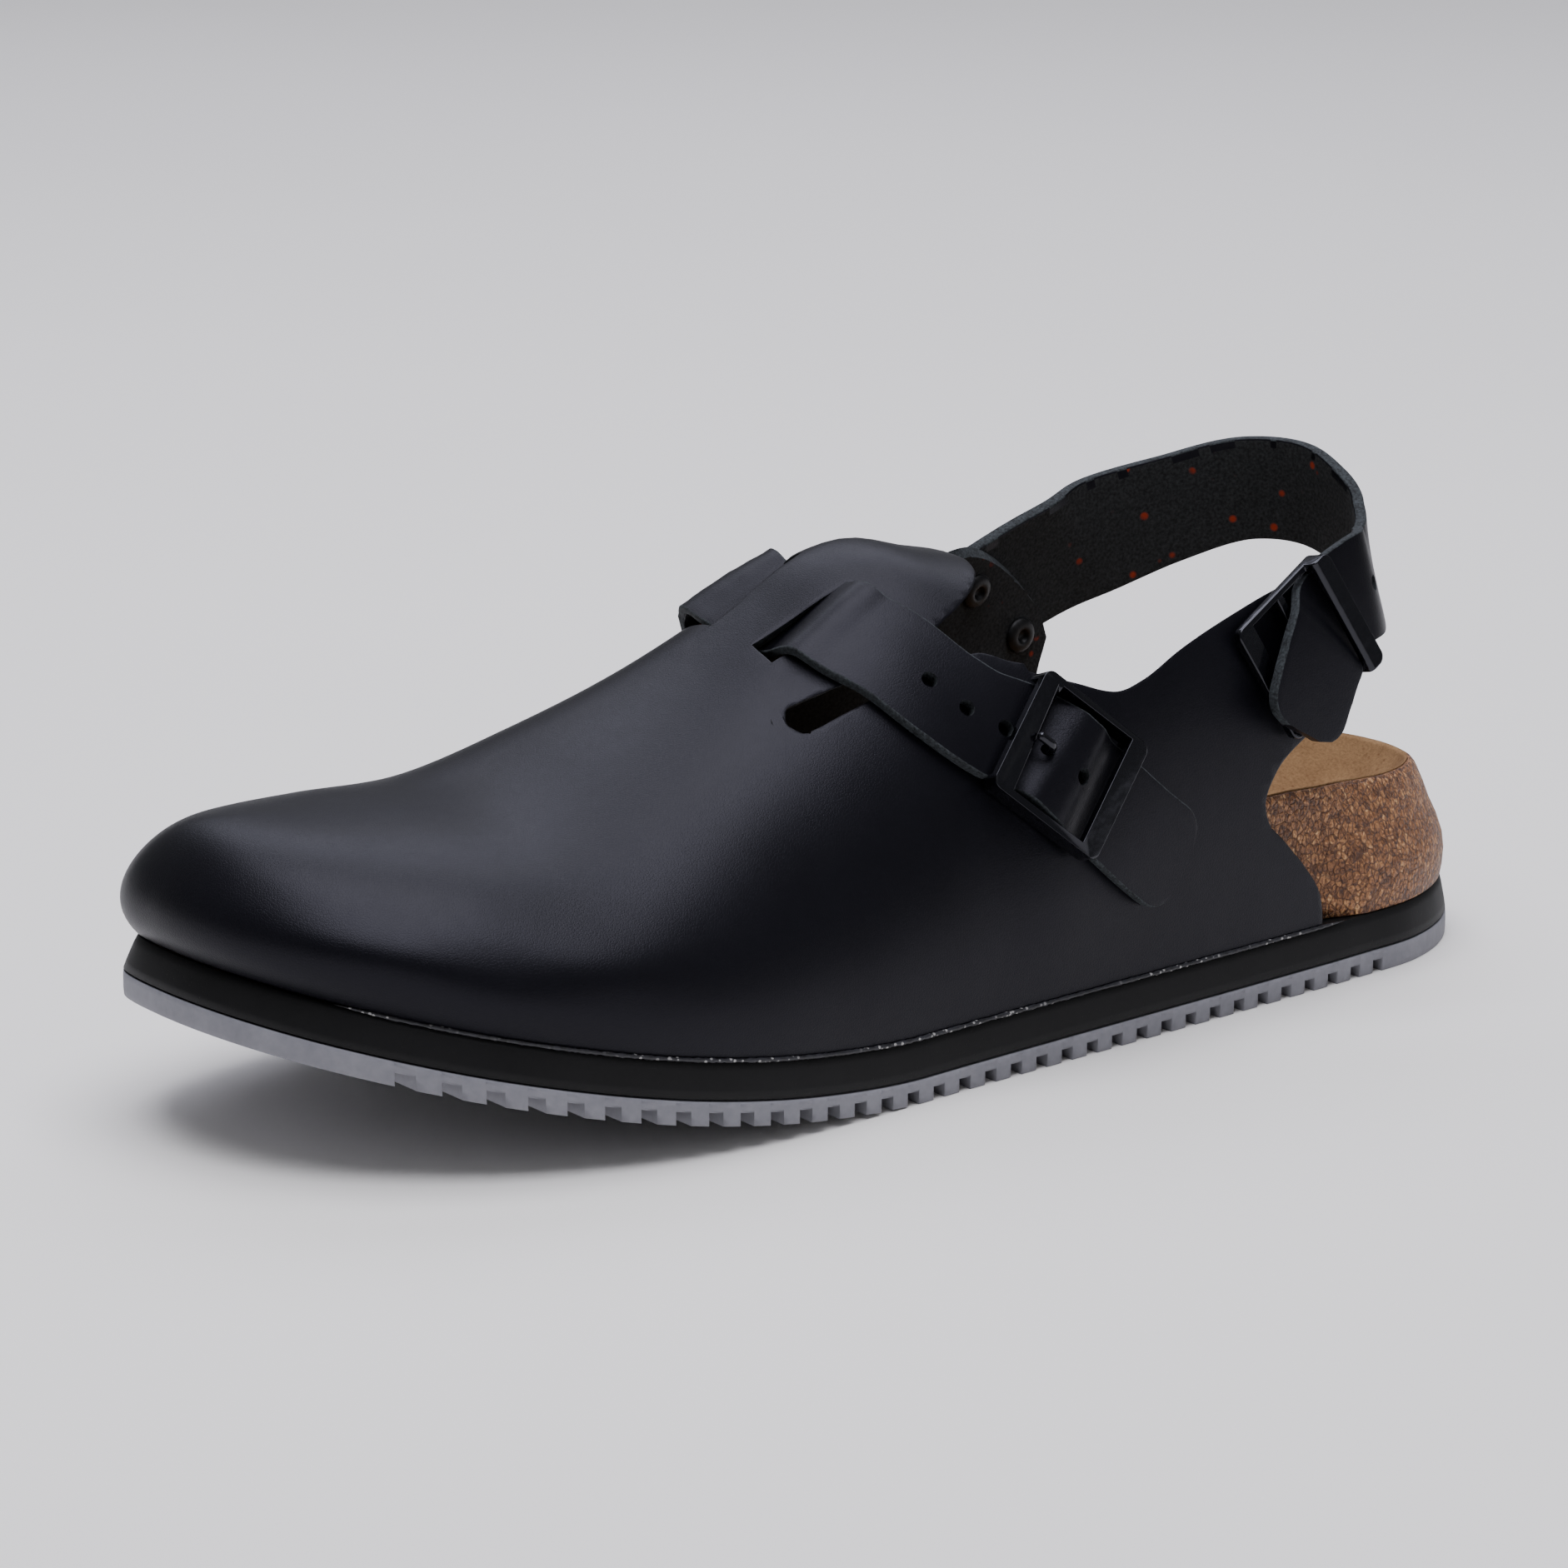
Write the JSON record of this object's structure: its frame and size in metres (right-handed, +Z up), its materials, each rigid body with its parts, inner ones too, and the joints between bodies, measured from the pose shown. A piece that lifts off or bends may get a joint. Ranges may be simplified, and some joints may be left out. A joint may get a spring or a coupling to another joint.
{
  "type": "clog",
  "caption": "Left work clog with a closed leather toe, a cork footbed, a grooved rubber sole, a buckled instep strap and a buckled heel strap.",
  "frame": {"origin": "on the floor under the middle of the shoe's bounding box", "axes": "-Y towards the toe, +Y towards the heel, +X towards the lateral side with the buckles, +Z up"},
  "size_m": [0.1037, 0.2867, 0.0988],
  "materials": {
    "grey_rubber": "matte",
    "black_foam": "satin",
    "cork": "rough",
    "suede": "napped",
    "black_leather": "smooth satin",
    "black_lacquer": "gloss",
    "dark_metal": "satin"
  },
  "bodies": {
    "root": {"outsole": "grey_rubber", "midsole": "black_foam", "footbed": "cork", "insole": "suede", "upper": "black_leather", "instep_strap": "black_leather", "instep_buckle": "black_lacquer", "instep_prong": "black_lacquer", "heel_strap": "black_leather", "heel_buckle": "black_lacquer", "rivet_1": "dark_metal", "rivet_2": "dark_metal"}
  },
  "joints": []
}
